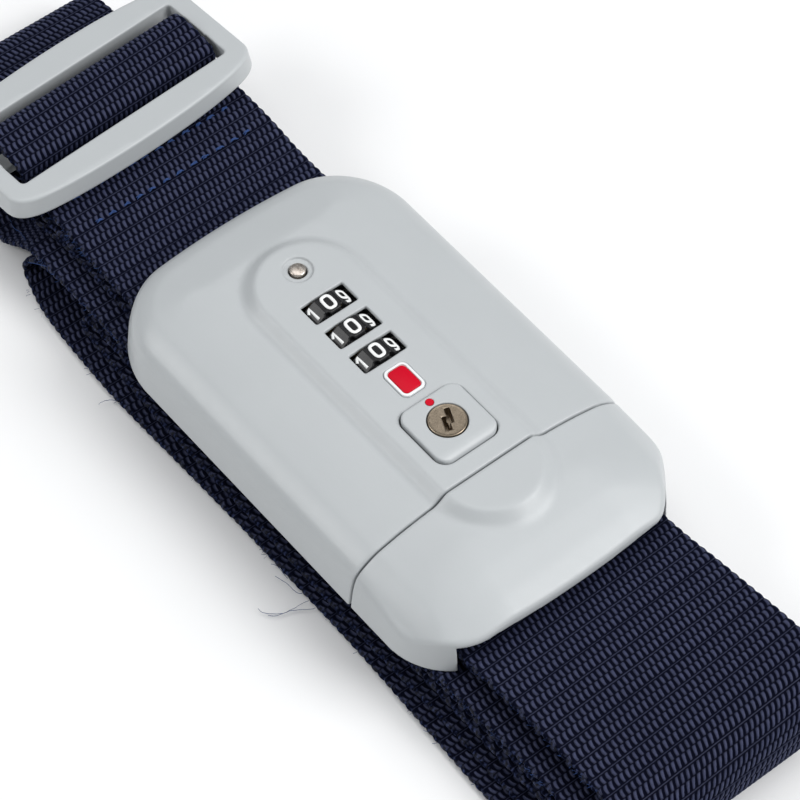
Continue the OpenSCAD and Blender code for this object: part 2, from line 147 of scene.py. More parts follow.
class Look:
    """A node material with the usual parts to hand."""

    def __init__(self, name):
        self.m = bpy.data.materials.new(name)
        self.m.use_nodes = True
        self.t = self.m.node_tree
        self.p = self.t.nodes["Principled BSDF"]

    def new(self, kind, **inputs):
        n = self.t.nodes.new(kind)
        for k, x in inputs.items():
            key = k.replace("_", " ")
            if isinstance(x, V):
                self.t.links.new(x.sock, n.inputs[key])
            elif isinstance(x, bpy.types.NodeSocket):
                self.t.links.new(x, n.inputs[key])
            else:
                n.inputs[key].default_value = x
        return n

    def set(self, **inputs):
        for k, x in inputs.items():
            key = k.replace("_", " ")
            if isinstance(x, V):
                self.t.links.new(x.sock, self.p.inputs[key])
            elif isinstance(x, bpy.types.NodeSocket):
                self.t.links.new(x, self.p.inputs[key])
            else:
                self.p.inputs[key].default_value = x

    def place(self):
        """Object coordinates in millimetres."""
        c = self.t.nodes.new("ShaderNodeTexCoord").outputs["Object"]
        n = self.t.nodes.new("ShaderNodeVectorMath")
        n.operation = "SCALE"
        self.t.links.new(c, n.inputs[0])
        n.inputs["Scale"].default_value = 1000
        return n.outputs[0]

    def axes(self, vector):
        n = self.new("ShaderNodeSeparateXYZ", Vector=vector)
        return [V(self.t, n.outputs[i]) for i in range(3)]

    def noise(self, scale, detail=3.0, rough=0.55, vector=None):
        n = self.new("ShaderNodeTexNoise", Vector=vector if vector is not None else self.place(),
                     Scale=scale, Detail=detail, Roughness=rough)
        return V(self.t, n.outputs[0])

    def mix(self, a, b, by):
        n = self.t.nodes.new("ShaderNodeMix")
        n.data_type = "RGBA"
        for key, x in ((0, by), (6, a), (7, b)):
            if isinstance(x, V):
                self.t.links.new(x.sock, n.inputs[key])
            elif isinstance(x, bpy.types.NodeSocket):
                self.t.links.new(x, n.inputs[key])
            else:
                n.inputs[key].default_value = x if key == 0 else (*x, 1)
        return n.outputs[2]

    def bump(self, height, distance, strength=1.0, over=None):
        n = self.new("ShaderNodeBump", Height=height, Distance=distance * MM, Strength=strength)
        if over is not None:
            self.t.links.new(over, n.inputs["Normal"])
        return n.outputs[0]


def moulded(name, dark, light, rough=0.36, grain=0.012, spec=0.5):
    """Satin moulded plastic: a fine grain, slow variation of tone, a little uneven gloss."""
    k = Look(name)
    slow, fine = k.noise(0.07, 4.0), k.noise(9.0, 2.0)
    k.set(Base_Color=k.mix(dark, light, (slow * 0.8 + fine * 0.2)),
          Roughness=k.noise(0.5, 3.0) * 0.12 + (rough - 0.06),
          Specular_IOR_Level=spec,
          Normal=k.bump(fine, grain, 0.5, over=k.bump(k.noise(1.6, 2.0), grain * 1.6, 0.5)))
    return k.m


def metal(name, dark, light, rough=0.3, scratch=0.6, stretch=(1.0, 1.0, 8.0), turned=False, speckle=0.4):
    """Plated or plain metal with fine brushing and blotches."""
    k = Look(name)
    place = k.place()
    m = k.t.nodes.new("ShaderNodeMapping")
    k.t.links.new(place, m.inputs["Vector"])
    m.inputs["Scale"].default_value = stretch
    fine = k.noise(5.0, 4.0, 0.7, vector=m.outputs[0])
    slow = k.noise(0.7, 3.0)
    height = fine
    if turned:
        x, y, z = k.axes(place)
        rings = ((x * x + y * y).sqrt() * 42.0).wave() * 0.5 + 0.5
        height = rings * 0.6 + fine * 0.4
    speckles = ((fine - 0.5) * 2.4 + 0.5).most(0.0).least(1.0)
    k.set(Base_Color=k.mix(dark, light, slow * (1.0 - speckle) + speckles * speckle), Metallic=1.0,
          Roughness=fine * 0.16 + (rough - 0.06),
          Normal=k.bump(height, 0.01, scratch))
    return k.m


SHELL = moulded("shell_plastic", (0.440, 0.461, 0.470), (0.475, 0.496, 0.505))
SHELL_IN = moulded("shell_inside", (0.36, 0.385, 0.395), (0.42, 0.445, 0.455), rough=0.55)
DIAL = moulded("dial_black", (0.005, 0.005, 0.006), (0.011, 0.011, 0.012), rough=0.27, grain=0.008,
               spec=0.28)
DIGIT = moulded("digit_white", (0.80, 0.81, 0.80), (0.90, 0.91, 0.90), rough=0.5, grain=0.01)
RED = moulded("red_enamel", (0.48, 0.002, 0.014), (0.62, 0.003, 0.022), rough=0.3, grain=0.004, spec=0.12)
RIM = moulded("marker_rim", (0.74, 0.75, 0.76), (0.86, 0.87, 0.88), rough=0.25, grain=0.004)
INNER = moulded("inner_plastic", (0.50, 0.50, 0.47), (0.60, 0.60, 0.57), rough=0.5)
STEEL = metal("steel", (0.50, 0.50, 0.50), (0.68, 0.68, 0.67))
BRASS = metal("brass", (0.60, 0.42, 0.14), (0.76, 0.56, 0.24), rough=0.28)
PLUG = metal("turned_plug", (0.110, 0.088, 0.062), (0.46, 0.38, 0.29), rough=0.3, scratch=0.7,
             stretch=(0.7, 0.7, 0.7), turned=True, speckle=0.6)
PIN = metal("reset_pin_metal", (0.20, 0.15, 0.12), (0.95, 0.88, 0.80), rough=0.22, scratch=1.0,
            stretch=(0.35, 0.35, 0.35), speckle=0.7)


def webbing_look():
    k = Look("navy_webbing")
    at = k.t.nodes.new("ShaderNodeAttribute")
    at.attribute_name = "strap"
    u, v, part = k.axes(at.outputs["Vector"])    # part: 1 where the weave is relief, -1 on the edges
    fine, side = part.most(0.0), (part * -1.5).most(0.0).least(1.0)
    h = weave(u, v)
    warp = k.new("ShaderNodeCombineXYZ", X=u * 2.0, Y=v * 14.0)
    fibre = k.noise(1.0, 3.0, 0.6, vector=warp.outputs[0])
    slow = k.noise(0.06, 3.0)
    blotch = k.noise(0.9, 2.0)
    # the first colour is painted shade for the gaps between the yarns; mid and high are the yarns' own navy tones
    gap_shade, mid, high = (0.0030, 0.0036, 0.0095), (0.0130, 0.0165, 0.0410), (0.0600, 0.0690, 0.1350)
    tone = ((fibre * 0.55 + blotch * 0.3 + slow * 0.15 - 0.29) * 2.3).most(0.0).least(1.0)
    yarn = k.mix(mid, high, tone)
    # the low parts of the weave (small h) are darkened towards the gap colour: painted shade in the crevices
    # between yarns
    yarn_and_gap_shade = k.mix(gap_shade, yarn, ((h - 0.34) * 1.9).most(0.0).least(1.0))
    knots = k.noise(1.5, 3.0, 0.7) + (u * 5.9 + blotch * 5.0).wave() * 0.09
    tufts = k.mix((0.0025, 0.0032, 0.0085), (0.040, 0.052, 0.118), ((knots - 0.47) * 3.6).most(0.0).least(1.0))
    k.set(Base_Color=k.mix(yarn_and_gap_shade, tufts, side),
          Roughness=0.6, Specular_IOR_Level=(h * 0.22),
          Sheen_Weight=0.05, Sheen_Roughness=0.5, Sheen_Tint=(0.35, 0.45, 0.9, 1))
    coarse = k.bump(h * (1.0 - fine) * (1.0 - side), 0.32, 1.0)
    k.set(Normal=k.bump(knots * side, 0.35, 1.0, over=k.bump(fibre, 0.05, 0.5, over=coarse)))
    return k.m


def thread_look():
    k = Look("blue_thread")
    f = k.noise(3.0, 4.0)
    k.set(Base_Color=k.mix((0.012, 0.026, 0.085), (0.050, 0.105, 0.300), f),
          Roughness=0.7, Specular_IOR_Level=0.15, Normal=k.bump(k.noise(7.0, 2.0), 0.05, 0.8))
    return k.m


WEB, THREAD = webbing_look(), thread_look()

# ------------------------------------------------------------------ mesh helpers


def dress(name, me, material, body, replaces=()):
    """Make an object of a mesh and say what it rides on, is made of and stands for."""
    me.materials.append(material)
    me.polygons.foreach_set("use_smooth", [True] * len(me.polygons))
    me.update()
    ob = bpy.data.objects.new(name, me)
    scene.collection.objects.link(ob)
    if body:
        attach(ob, body)
    if replaces:
        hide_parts(*replaces)
    return ob


def outward(me):
    """Turn all the normals of a closed mesh outward."""
    b = bmesh.new()
    b.from_mesh(me)
    bmesh.ops.recalc_face_normals(b, faces=b.faces)
    b.to_mesh(me)
    b.free()


# ------------------------------------------------------------------ distance fields, in mm


def inside(a, b, r):
    """Both a and b, meeting in a rounding of radius r."""
    return np.minimum(np.maximum(a, b), -r) + np.hypot(np.maximum(a + r, 0), np.maximum(b + r, 0))


def either(a, b, k):
    h = np.maximum(k - np.abs(a - b), 0) / k
    return np.minimum(a, b) - h * h * k / 4


def both(a, b, k):
    return -either(-a, -b, k)


def cut(a, b, k=0.0):
    return both(a, -b, k) if k else np.maximum(a, -b)


def slab(x, lo, hi):
    return np.abs(x - (lo + hi) / 2) - (hi - lo) / 2


def brick(x, y, z, lo, hi):
    return np.maximum(np.maximum(slab(x, lo[0], hi[0]), slab(y, lo[1], hi[1])), slab(z, lo[2], hi[2]))


def rounded(x, y, w, l, r):
    """Rounded rectangle w by l."""
    a, b = np.abs(x) - w / 2, np.abs(y) - l / 2
    return inside(a, b, r)


def curve_height(x, points):
    """Height over x of a smooth curve through points."""
    p = np.array(points, float)
    t = np.linspace(p[0, 0], p[-1, 0], 400)
    zz = np.interp(t, p[:, 0], p[:, 1])
    step = t[1] - t[0]
    n = int(2.2 / step)
    kern = np.hanning(2 * n + 1)
    padded = np.concatenate([zz[0] + np.arange(-n, 0) * (zz[1] - zz[0]), zz,
                             zz[-1] + np.arange(1, n + 1) * (zz[-1] - zz[-2])])
    zz = np.convolve(padded, kern / kern.sum(), "valid")
    return np.interp(x, t, zz)


def mesh_field(f, lo, hi, h, name, material, body, replaces=()):
    """The solid where f(x, y, z) is negative, as a mesh with normals from f."""
    ax = [np.arange(lo[i] - 2 * h, hi[i] + 3 * h, h) for i in range(3)]
    g = f(ax[0][:, None, None], ax[1][None, :, None], ax[2][None, None, :])
    g = np.ascontiguousarray(np.broadcast_to(g, [len(a) for a in ax]), np.float32)
    grid = vdb.FloatGrid(background=float(4 * h))
    grid.copyFromArray(np.clip(g, -4 * h, 4 * h))
    points, tris, quads = grid.convertToPolygons(isovalue=0.0, adaptivity=0.004)
    points = np.asarray(points, float)
    gx = np.gradient(g)

    def sample(a, q):
        i = np.clip(np.floor(q).astype(int), 0, np.array(a.shape) - 2)
        t = q - i
        out = 0
        for dx in (0, 1):
            for dy in (0, 1):
                for dz in (0, 1):
                    w = ((t[:, 0] if dx else 1 - t[:, 0]) * (t[:, 1] if dy else 1 - t[:, 1])
                         * (t[:, 2] if dz else 1 - t[:, 2]))
                    out = out + w * a[i[:, 0] + dx, i[:, 1] + dy, i[:, 2] + dz]
        return out

    for _ in range(2):
        n = np.stack([sample(a, points) for a in gx], 1)
        d = sample(g, points) / np.maximum((n * n).sum(1), 1e-3 * h * h)
        points = points - np.clip(d, -0.5, 0.5)[:, None] * n
    n = np.stack([sample(a, points) for a in gx], 1)
    n /= np.maximum(np.linalg.norm(n, axis=1), 1e-9)[:, None]
    verts = (points * h + np.array([a[0] for a in ax])) * MM
    faces = [tuple(q) for q in np.asarray(quads)] + [tuple(q) for q in np.asarray(tris)]
    me = bpy.data.meshes.new(name)
    me.from_pydata([tuple(v) for v in verts], [], faces)
    me.validate()
    me.update()
    centre = np.zeros(len(me.polygons) * 3)
    me.polygons.foreach_get("normal", centre)
    first = np.array([p.vertices[0] for p in me.polygons])
    if (centre.reshape(-1, 3) * n[first]).sum(1).mean() < 0:
        me.flip_normals()
    dress(name, me, material, body, replaces)
    me.normals_split_custom_set_from_vertices([tuple(v) for v in n])


# ------------------------------------------------------------------ lock and tongue shells
FAR, NEAR, TOP, BASE, HALF, WALL = -70.8, 38.6, 28.0, 11.5, 33.0, 2.1
LOCK_END, TONGUE_START = 11.8, 12.2
PIN_X, PIN_Y, BUTTON_X = -46.2, 0.6, 0.35
MARKER_X, BUTTON_TOP = -12.8, 28.8
DIAL_X, PITCH, AXIS_Z, FACET = -35.75, 7.42, 22.5, 6.2
# heights of the shells' top across and along, and how far the wall leans in with height
ACROSS = [(0, 26.4), (13, 26.4), (22, 24.75), (27, 23.6), (30.2, 21.7), (33.5, 18.8)]
ALONG = [(-72.2, 19.1), (-70.3, 22.6), (-68.2, 24.9), (-64, 26.1), (-57, 26.4), (22, 26.4),
         (28, 24.8), (34, 22.4), (38.6, 20), (40, 19.2)]
LEAN = [(10.5, -0.2), (16.2, 0.4), (18.5, 0.9), (20, 1.45), (21.2, 2.3), (22, 3.25), (22.8, 4.5),
        (23.6, 6.1), (30, 30)]


def outline(x, y):
    far = np.hypot(x - (FAR + 181), y) - 181
    near = np.hypot(x - (NEAR - 255.4), y) - 255.4
    plan = np.maximum(inside(np.abs(y) - HALF, far, 16.5), inside(np.abs(y) - HALF, near, 12.8))
    # the tongue's far corner is cut back a little more
    return both(plan, x * 0.63 + y * 0.777 - 41.4, 2.5)


def skin(x, y, z):
    """The whole outside, lock and tongue together."""
    edge = outline(x, y)
    lean = np.interp(z, *zip(*LEAN))
    lean = lean * (1 - 0.55 * np.clip((x - 20) / 13, 0, 1))
    wall = (edge + lean) * 0.9
    # the tongue's corners hang lower
    drop = 3.2 * np.clip((x - 10) / 24, 0, 1) * np.clip((np.abs(y) - 14) / 17, 0, 1) ** 1.5
    crown = z + drop - curve_height(np.abs(y), ACROSS)
    along = z + drop - curve_height(x, ALONG)
    body = both(both(crown, along, 1.6) * 0.95, wall, 0.6)
    stadium = (np.hypot(x - np.clip(x, -42, 12), y) - 10.4 - (TOP - z) * 1.25) * 0.65
    deck = both(stadium, z - TOP, 0.45)
    return either(body, np.maximum(deck, 20 - z), 0.6)


def lock_field(x, y, z):
    s = skin(x, y, z)
    f = np.maximum(s, BASE - z)
    f = inside(f, x - LOCK_END, 0.35)
    f = cut(f, np.maximum(np.maximum(s + WALL, -56 - x), x - 9.8))
    for i in range(3):
        window = rounded(x - (DIAL_X + PITCH * i) + 0.2, y - 0.25, 5.2, 10.2, 0.35)
        f = cut(f, np.maximum(window, 18 - z), 0.22)
    f = cut(f, brick(x, y, z, (-42.6, -8.6, 22), (-13, 8.6, 27.0)))
    f = cut(f, brick(x, y, z, (-9.5, -9.5, 22), (9.8, 9.5, 25.4)))
    f = cut(f, np.maximum(rounded(x - BUTTON_X, y, 14.7, 14.7, 2.75), 18 - z), 0.4)
    hole = np.hypot(x - PIN_X, y - PIN_Y)
    f = cut(f, np.maximum(hole - 3.0, 27.5 - z), 0.3)
    f = cut(f, np.maximum(hole - 1.85, 20 - z), 0.2)
    f = cut(f, np.maximum(rounded(x - MARKER_X, y, 7.6, 5.6, 1.4), 27.6 - z), 0.2)
    f = cut(f, brick(x, y, z, (-72, -25.6, 5), (-57.5, 25.6, 18.5)))
    f = cut(f, brick(x, y, z, (8.8, -11, 13.7), (14, 11, 16.5)))
    return cut(f, np.maximum(np.maximum(outline(x, y) + WALL - 0.1, z - 13), -57.2 - x))


def tongue_field(x, y, z):
    s = skin(x, y, z)
    f = np.maximum(s, BASE - z)
    f = inside(f, TONGUE_START - x, 0.35)
    f = cut(f, np.maximum(np.maximum(s + WALL, 14.2 - x), x - 24))
    # the mouth that the webbing leaves by, with an arched roof
    roof = np.interp(x, [20, 28, 34, 38.6, 42], [23, 22.6, 20.2, 18.2, 17.6])
    roof = roof - 1.5 * np.clip((np.abs(y) - 16) / 10.8, 0, 1) ** 2
    f = cut(f, np.maximum(np.maximum(np.maximum(y - 25.6, -y - 26.3), 23.9 - x), (z - roof) * 0.93), 0.5)
    f = cut(f, brick(x, y, z, (10, -11, 14.2), (15.2, 11, 16)))
    return cut(f, np.maximum(np.maximum(outline(x, y) + WALL - 0.1, z - 13), x - 23.6))


mesh_field(lock_field, (FAR - 1, -34, BASE), (LOCK_END, 34, TOP), 0.25, "lock_shell", SHELL,
           "lock", ["lock_top_cover"])
mesh_field(tongue_field, (TONGUE_START, -34, BASE), (NEAR + 1, 34, TOP), 0.25, "tongue_shell", SHELL,
           "tongue", ["tongue_top_cover"])


def button_field(x, y, z):
    bx = x - BUTTON_X
    f = inside(rounded(bx, y, 14.2, 14.2, 2.5), z - BUTTON_TOP, 0.45)
    bevel = (bx - 5.9) * 0.6 + (z - BUTTON_TOP) * 0.8
    f = both(f, bevel, 0.5)
    f = np.maximum(f, 22.5 - z)
    f = cut(f, np.maximum(rounded(bx, y, 11.8, 11.8, 1.3), z - 26.6))
    f = cut(f, np.maximum(np.hypot(x, y) - 4.0, 20 - z), 0.25)
    return cut(f, np.maximum(np.hypot(x + 5.3, y) - 0.85, 28.4 - z), 0.1)


mesh_field(button_field, (-7, -7.3, 22.5), (7.8, 7.3, BUTTON_TOP), 0.14, "button_cap", SHELL,
           "button", ["release_button"])


ADJUSTER_X, ADJUSTER_Y, TURN, TILT = -111, -0.4, math.radians(3), math.radians(1.8)
BAR_LENGTH = 52.4


def adjuster_field(x, y, z):
    ax = (x - ADJUSTER_X) * math.cos(TURN) + (y - ADJUSTER_Y) * math.sin(TURN)
    ay = -(x - ADJUSTER_X) * math.sin(TURN) + (y - ADJUSTER_Y) * math.cos(TURN)
    z = z - ax * math.tan(TILT)
    plan = inside(np.abs(ax) - 17.3, np.abs(ay) - 31, 8.0)
    # each long side bows out, 130 mm in radius
    sides = np.maximum(np.hypot(ax + 112.7, ay) - 130, np.hypot(ax - 112.7, ay) - 130)
    plan = both(plan, sides, 3.0)
    drafted = plan + (z - 19.6) * 0.16
    f = inside(drafted, z - 22.6, 0.6)
    f = inside(f, 17.9 - z, 0.5)
    for s in (-1, 1):
        f = cut(f, rounded(ax - 5.55 * s, ay, 7.1, BAR_LENGTH, 0.9) - (z - 20.2) * 0.03, 0.5)
    return cut(f, brick(ax, ay, z, (-2.1, -BAR_LENGTH / 2, 20.1), (2.1, BAR_LENGTH / 2, 26)), 0.3)


mesh_field(adjuster_field, (-130, -32.5, 17.2), (-92, 32, 23.4), 0.22, "adjuster_frame", SHELL,
           "adjuster", ["adjuster"])

# ------------------------------------------------------------------ dials, marker, key plug


def wheel_field(x, y, z):
    """A ten-sided wheel with finger notches on the ridges."""
    z = z - AXIS_Z
    r, turn = np.hypot(y, z), np.arctan2(y, z)
    step = math.radians(36)
    face = r * np.cos((turn + step / 2) % step - step / 2) - FACET
    ridge = r * np.sin(turn % step - step / 2)
    f = both(face, np.abs(x) - 2.2, 0.3)
    f = cut(f, np.maximum(np.hypot(x - 2.3, ridge) - 0.62, 4.9 - r), 0.15)
    f = cut(f, np.maximum(np.hypot(x + 2.3, ridge) - 0.3, 5.3 - r), 0.1)
    return cut(f, r - 3.18)


def bow(cx, cy, rx, ry, a0, a1):
    """Part of an ellipse, from angle a0 to a1."""
    n = max(5, int(abs(a1 - a0) / 14))
    turns = [math.radians(a0 + (a1 - a0) * i / n) for i in range(n + 1)]
    return [(cx + rx * math.cos(a), cy + ry * math.sin(a)) for a in turns]


def box_ring(cx, cy, rx, ry):
    """A squarish closed ring, as moulded numerals have."""
    t = np.radians(np.arange(0, 361, 12))
    c, k = np.cos(t), np.sin(t)
    return list(zip(cx + rx * np.sign(c) * np.abs(c) ** 0.62, cy + ry * np.sign(k) * np.abs(k) ** 0.62))


H, W = 1.42, 0.86    # half the height and half the width of a numeral
NUMERALS = [    # the strokes of 0 to 9
    [box_ring(0, 0, W, H)],
    [[(0.15, -H), (0.15, H), (-0.1, H - 0.12), (-0.62, H - 0.72)]],
    [bow(0, 0.72, W, 0.78, 165, -25) + [(-W, -H), (W, -H)]],
    [bow(-0.1, 0.76, 0.8, 0.74, 150, -80), bow(-0.1, -0.72, 0.92, 0.78, 85, -150)],
    [[(0.42, -H), (0.42, H), (-W, -0.5), (W, -0.5)]],
    [[(W * 0.85, H), (-W * 0.72, H), (-W * 0.85, 0.22)] + bow(-0.08, -0.6, 0.92, 0.88, 110, -150)],
    [box_ring(0, -0.5, W, 0.92), [(-W, -0.5), (-W, 0.75), (-0.55, 1.28), (0, H), (0.6, H)]],
    [[(-W, H), (W, H), (-0.15, -H)]],
    [box_ring(0, 0.76, W * 0.88, 0.74), box_ring(0, -0.74, W, 0.76)],
    [box_ring(0, 0.5, W, 0.92), [(W, 0.5), (W, -0.75), (0.55, -1.28), (0, -H), (-0.6, -H)]],
]


STROKE, SUNK = 0.45, 0.28    # radius of a stroke, and how deep its centre line lies


def numerals(name, cx, body):
    """The ten raised numerals round one wheel."""
    data = bpy.data.curves.new(name, "CURVE")
    data.dimensions = "3D"
    data.bevel_depth, data.bevel_resolution = STROKE * MM, 2
    data.use_fill_caps = True
    up = np.array((-1, 0, 0))
    for k, strokes in enumerate(NUMERALS):
        a = math.radians(36 * k)
        out, right = np.array((0, -math.sin(a), math.cos(a))), np.array((0, math.cos(a), math.sin(a)))
        for stroke in strokes:
            sp = data.splines.new("POLY")
            sp.points.add(len(stroke) - 1)
            for q, (px, py) in zip(sp.points, stroke):
                at = np.array((cx - 0.12, 0, AXIS_Z)) + out * (FACET - SUNK) + right * (px * 1.12) + up * py * 1.08
                q.co = (*(at * MM), 1)
    tmp = bpy.data.objects.new(name + "_curve", data)
    scene.collection.objects.link(tmp)
    bpy.context.view_layer.update()
    me = bpy.data.meshes.new_from_object(tmp.evaluated_get(bpy.context.evaluated_depsgraph_get()))
    me.name = name
    bpy.data.objects.remove(tmp)
    bpy.data.curves.remove(data)
    me.materials.clear()
    dress(name, me, DIGIT, body)


for i in range(3):
    cx = DIAL_X + i * PITCH
    mesh_field(lambda x, y, z: wheel_field(x - cx, y, z),
               (cx - 2.3, -6.7, AXIS_Z - 6.6), (cx + 2.3, 6.7, AXIS_Z + 6.6), 0.13,
               f"dial_{i + 1}_body", DIAL, f"dial_{i + 1}", [f"dial_wheel_{i + 1}"])
    numerals(f"dial_{i + 1}_numerals", cx, f"dial_{i + 1}")


def rim_field(x, y, z):
    x = x - MARKER_X
    recess = np.maximum(rounded(x, y, 6.3, 4.3, 0.95), 27.9 - z)
    return np.maximum(27.6 - z, cut(inside(rounded(x, y, 7.4, 5.4, 1.4), z - 28.25, 0.2), recess, 0.1))


def face_field(x, y, z):
    x = x - MARKER_X
    dome = z - 28.42 + 0.035 * (x ** 2 * 0.5 + y * y)
    return np.maximum(inside(rounded(x, y, 6.1, 4.1, 0.9), dome, 0.25), 27.7 - z)


mesh_field(rim_field, (-17, -3, 27.6), (-9, 3, 28.3), 0.07, "marker_rim", RIM, "lock", ["badge"])
mesh_field(face_field, (-16.5, -2.5, 27.7), (-9.5, 2.5, 28.5), 0.07, "marker_face", RED, "lock", ["badge"])


def plug_field(x, y, z):
    r = np.hypot(x, y)
    f = inside(r - 3.8, z - 28.86, 0.22)
    f = np.maximum(f, np.minimum(25 - z, np.maximum(19.4 - z, r - 3.2)))
    # a shallow turned face inside a raised rim
    f = cut(f, np.maximum(r - 3.5, 28.8 - z), 0.06)
    # the keyway: two slots side by side
    t = math.radians(-23)
    kx, ky = x * math.cos(t) + y * math.sin(t), -x * math.sin(t) + y * math.cos(t)
    way = np.minimum(brick(kx, ky, z, (-2.7, 0.1, 26.6), (0.7, 1.1, 30)),
                     brick(kx, ky, z, (-0.9, -0.9, 25.4), (2.3, 0.3, 30)))
    return cut(f, way, 0.2)


def pin_field(x, y, z):
    r = np.hypot(x - PIN_X, y - PIN_Y)
    f = inside(r - 1.62, z - 28.2 + 0.06 * r * r, 0.2)
    return np.maximum(f, 17 - z)


mesh_field(pin_field, (PIN_X - 2, -2, 17), (PIN_X + 2, 2.4, 28.2), 0.09, "reset_pin_head", PIN,
           "reset_pin", ["reset_pin"])
mesh_field(plug_field, (-4, -4, 19.4), (4, 4, 28.9), 0.1, "plug_face", PLUG, "key", ["key_plug"])

# ------------------------------------------------------------------ webbing


def arc(cx, cz, r, a0, a1, y0=0.0, y1=None):
    """Points (x, z, sideways shift) round a bend."""
    n = max(6, int(abs(a1 - a0) / 9))
    y1 = y0 if y1 is None else y1
    turns = [math.radians(a0 + (a1 - a0) * i / n) for i in range(n + 1)]
    return [(cx + r * math.cos(a), cz + r * math.sin(a), y0 + (y1 - y0) * i / n) for i, a in enumerate(turns)]


COLUMNS = 230    # vertices across the webbing where its weave is relief
FEW = np.array([0, 3, 8, 20, 45, 80, 114, 149, 184, 209, 221, 226, 229])    # the ones kept elsewhere
RELIEF = 0.34


